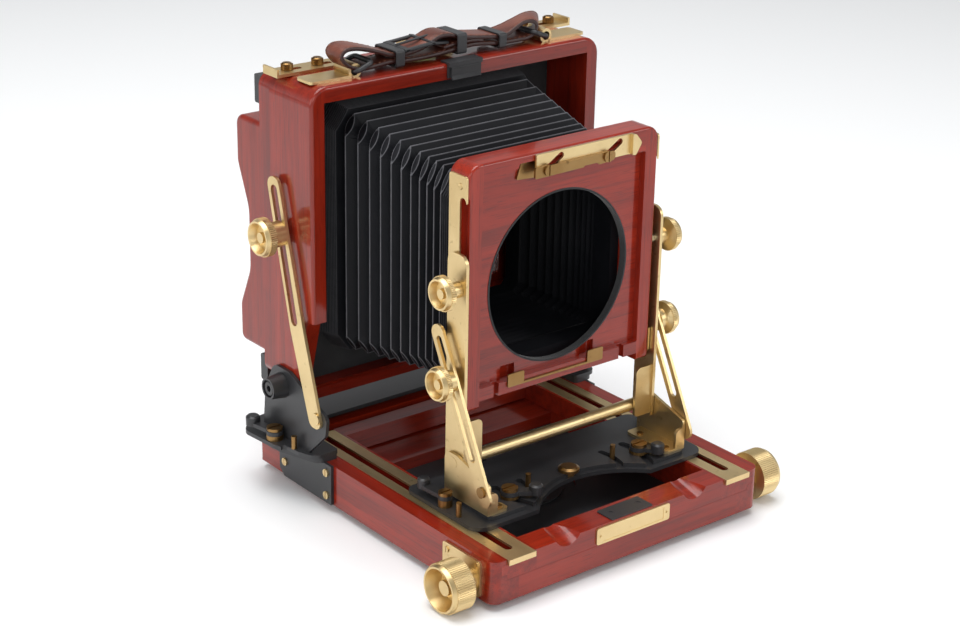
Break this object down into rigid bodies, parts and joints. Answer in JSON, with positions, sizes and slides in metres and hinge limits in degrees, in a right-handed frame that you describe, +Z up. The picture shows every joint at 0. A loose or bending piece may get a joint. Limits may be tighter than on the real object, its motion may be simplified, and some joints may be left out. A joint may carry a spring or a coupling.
{
  "type": "folding 4x5 field view camera",
  "caption": "Folding wooden 4x5 field view camera with brass standards, black bellows, geared focusing bed, lens-board front and sprung ground-glass back.",
  "frame": {"origin": "Mouth of the tripod socket, in the plane of the bed's underside.", "axes": "+X is to the user's right when standing in front of the ground glass and looking along the lens axis towards -Y; the lens faces -Y; +Z is up."},
  "size_m": [0.2074, 0.2051, 0.2276],
  "materials": {
    "rosewood": "gloss lacquer",
    "dark_rosewood": "gloss lacquer",
    "brass": "satin lacquered",
    "dark_brass": "aged",
    "black_metal": "satin black",
    "steel": "machined",
    "bellows_cloth": "matt black",
    "velvet": "matt black",
    "strap_leather": "stitched",
    "glass": "fine ground",
    "level_case": "satin"
  },
  "bodies": {
    "bed": {"bed_frame": "rosewood", "tripod_socket": "black_metal", "side_plates": "black_metal", "bearing_plates": "brass"},
    "pinion": {"focus_shaft": "steel", "focus_knob_l": "brass", "focus_knob_r": "brass"},
    "focus_lock": {"focus_lock_ring": "brass"},
    "focus_slide": {"slide_frame": "rosewood", "rail_plates": "brass", "racks": "brass", "name_plate": "brass", "catch_plate": "black_metal"},
    "front_base": {"base_plate": "black_metal", "lock_posts": "dark_brass"},
    "lever_ol": {"front_lever_ol": "black_metal"},
    "lever_or": {"front_lever_or": "black_metal"},
    "lever_il": {"front_lever_il": "black_metal"},
    "lever_ir": {"front_lever_ir": "black_metal"},
    "front_swing": {"swing_plate": "black_metal", "front_brackets": "brass", "bracket_screws": "dark_brass"},
    "brace_pair": {"braces": "brass"},
    "clamp_studs": {"tilt_studs": "brass"},
    "tilt_clamp_l": {"tilt_knob_l": "brass"},
    "tilt_clamp_r": {"tilt_knob_r": "brass"},
    "front_standard": {"uprights": "brass", "rise_studs": "steel"},
    "rise_clamp_l": {"rise_knob_l": "brass"},
    "rise_clamp_r": {"rise_knob_r": "brass"},
    "lens_standard": {"lens_frame": "rosewood", "slot_plates": "brass", "light_ring": "velvet", "board_clips": "brass"},
    "lens_lock": {"board_lock": "brass"},
    "rear_base": {"rear_plate": "black_metal", "rear_brackets": "black_metal", "rear_posts": "dark_brass"},
    "swing_lever_l": {"rear_lever_l": "black_metal"},
    "swing_lever_r": {"rear_lever_r": "black_metal"},
    "arm_pair": {"rear_arms": "brass"},
    "rear_body": {"body_shell": "rosewood", "body_pivots": "black_metal", "bellows_frame": "velvet", "bellows": "bellows_cloth", "back_frame": "rosewood", "back_hooks": "black_metal", "lock_screws": "brass", "strap_plates": "brass", "strap_rings": "black_metal", "strap": "strap_leather", "spirit_level": "level_case", "catch_base": "black_metal"},
    "rear_clamp_l": {"rear_knob_l": "brass"},
    "rear_clamp_r": {"rear_knob_r": "brass"},
    "slide_l": {"lock_slide_l": "brass"},
    "slide_r": {"lock_slide_r": "brass"},
    "catch": {"top_catch": "black_metal"},
    "spring_back": {"gg_frame": "dark_rosewood", "ground_glass": "glass"}
  },
  "joints": [
    {"name": "focus", "type": "slide", "parent": "bed", "child": "focus_slide", "axis": [0, -1, 0], "range_m": [0, 0.1], "deforming": ["bellows"]},
    {"name": "pinion_spin", "type": "hinge", "parent": "bed", "child": "pinion", "pos_m": [0, -0.0805, 0.0083], "axis": [1, 0, 0], "range_deg": [0, 1820]},
    {"name": "focus_clamp", "type": "hinge", "parent": "bed", "child": "focus_lock", "pos_m": [0.085, -0.0805, 0.0083], "axis": [1, 0, 0], "range_deg": [-15, 40]},
    {"name": "base_slide", "type": "slide", "parent": "focus_slide", "child": "front_base", "axis": [0, -1, 0], "range_m": [-0.088, 0.008], "deforming": ["bellows"]},
    {"name": "lock_ol", "type": "hinge", "parent": "front_base", "child": "lever_ol", "pos_m": [-0.0675, -0.04, 0.027], "axis": [0, 0, 1], "range_deg": [-8, 35]},
    {"name": "lock_or", "type": "hinge", "parent": "front_base", "child": "lever_or", "pos_m": [0.0675, -0.04, 0.027], "axis": [0, 0, -1], "range_deg": [-8, 35]},
    {"name": "lock_il", "type": "hinge", "parent": "front_base", "child": "lever_il", "pos_m": [-0.0405, -0.054, 0.027], "axis": [0, 0, 1], "range_deg": [-25, 10]},
    {"name": "lock_ir", "type": "hinge", "parent": "front_base", "child": "lever_ir", "pos_m": [0.0405, -0.054, 0.027], "axis": [0, 0, -1], "range_deg": [-15, 10]},
    {"name": "front_swing", "type": "hinge", "parent": "front_base", "child": "front_swing", "pos_m": [0, -0.049, 0.025], "axis": [0, 0, 1], "range_deg": [-15, 15], "deforming": ["bellows"]},
    {"name": "front_fold", "type": "hinge", "parent": "front_swing", "child": "front_standard", "pos_m": [0, -0.0375, 0.0423], "axis": [-1, 0, 0], "range_deg": [-90, 12], "deforming": ["bellows"]},
    {"name": "brace_fold", "type": "hinge", "parent": "front_swing", "child": "brace_pair", "pos_m": [0, -0.0615, 0.0372], "axis": [-1, 0, 0], "range_deg": [-100, 14]},
    {"name": "clamp_slide", "type": "slide", "parent": "brace_pair", "child": "clamp_studs", "axis": [0, 0.4563, 0.8898], "range_m": [-0.0345, 0.005]},
    {"name": "tilt_knob_l_spin", "type": "hinge", "parent": "clamp_studs", "child": "tilt_clamp_l", "pos_m": [-0.066, -0.0375, 0.084], "axis": [1, 0, 0], "continuous": true},
    {"name": "tilt_knob_r_spin", "type": "hinge", "parent": "clamp_studs", "child": "tilt_clamp_r", "pos_m": [0.066, -0.0375, 0.084], "axis": [1, 0, 0], "continuous": true},
    {"name": "rise", "type": "slide", "parent": "front_standard", "child": "lens_standard", "axis": [0, 0, 1], "range_m": [-0.018, 0.038], "deforming": ["bellows"]},
    {"name": "rise_knob_l_spin", "type": "hinge", "parent": "front_standard", "child": "rise_clamp_l", "pos_m": [-0.062, -0.0375, 0.1277], "axis": [1, 0, 0], "continuous": true},
    {"name": "rise_knob_r_spin", "type": "hinge", "parent": "front_standard", "child": "rise_clamp_r", "pos_m": [0.062, -0.0375, 0.1277], "axis": [1, 0, 0], "continuous": true},
    {"name": "board_locking", "type": "slide", "parent": "lens_standard", "child": "lens_lock", "axis": [-0.8499, 0, -0.5269], "range_m": [0, 0.008]},
    {"name": "rear_swing", "type": "hinge", "parent": "bed", "child": "rear_base", "pos_m": [0, 0.055, 0.024], "axis": [0, 0, 1], "range_deg": [-15, 15], "deforming": ["bellows"]},
    {"name": "rear_lock_l", "type": "hinge", "parent": "rear_base", "child": "swing_lever_l", "pos_m": [-0.0936, 0.063, 0.029], "axis": [0, 0, 1], "range_deg": [-12, 25]},
    {"name": "rear_lock_r", "type": "hinge", "parent": "rear_base", "child": "swing_lever_r", "pos_m": [0.0936, 0.063, 0.029], "axis": [0, 0, -1], "range_deg": [-12, 25]},
    {"name": "rear_tilt", "type": "hinge", "parent": "rear_base", "child": "rear_body", "pos_m": [0, 0.063, 0.053], "axis": [-1, 0, 0], "range_deg": [-22, 12], "deforming": ["bellows"]},
    {"name": "arm_tilt", "type": "hinge", "parent": "rear_base", "child": "arm_pair", "pos_m": [0, 0.031, 0.047], "axis": [-1, 0, 0], "range_deg": [-20, 11]},
    {"name": "rear_knob_l_spin", "type": "hinge", "parent": "rear_body", "child": "rear_clamp_l", "pos_m": [-0.092, 0.059, 0.1328], "axis": [1, 0, 0], "continuous": true},
    {"name": "rear_knob_r_spin", "type": "hinge", "parent": "rear_body", "child": "rear_clamp_r", "pos_m": [0.092, 0.059, 0.1328], "axis": [1, 0, 0], "continuous": true},
    {"name": "back_lock_l", "type": "slide", "parent": "rear_body", "child": "slide_l", "axis": [-1, 0, 0], "range_m": [0, 0.006]},
    {"name": "back_lock_r", "type": "slide", "parent": "rear_body", "child": "slide_r", "axis": [1, 0, 0], "range_m": [0, 0.006]},
    {"name": "catch_flex", "type": "hinge", "parent": "rear_body", "child": "catch", "pos_m": [0, 0.0365, 0.2048], "axis": [-1, 0, 0], "range_deg": [0, 12], "stiffness_Nm_per_rad": 0.05},
    {"name": "back_spring", "type": "slide", "parent": "rear_body", "child": "spring_back", "axis": [0, 1, 0], "range_m": [0, 0.009], "stiffness_N_per_m": 900, "springref_m": -0.004}
  ],
  "couplings": [
    {"joint": "pinion_spin", "follows": "focus", "rad_per_m": 317.46},
    {"joint": "brace_fold", "follows": "front_fold", "ratio": 1.1},
    {"joint": "clamp_slide", "follows": "front_fold", "m_per_rad": 0.02177},
    {"joint": "arm_tilt", "follows": "rear_tilt", "ratio": 0.86}
  ]
}
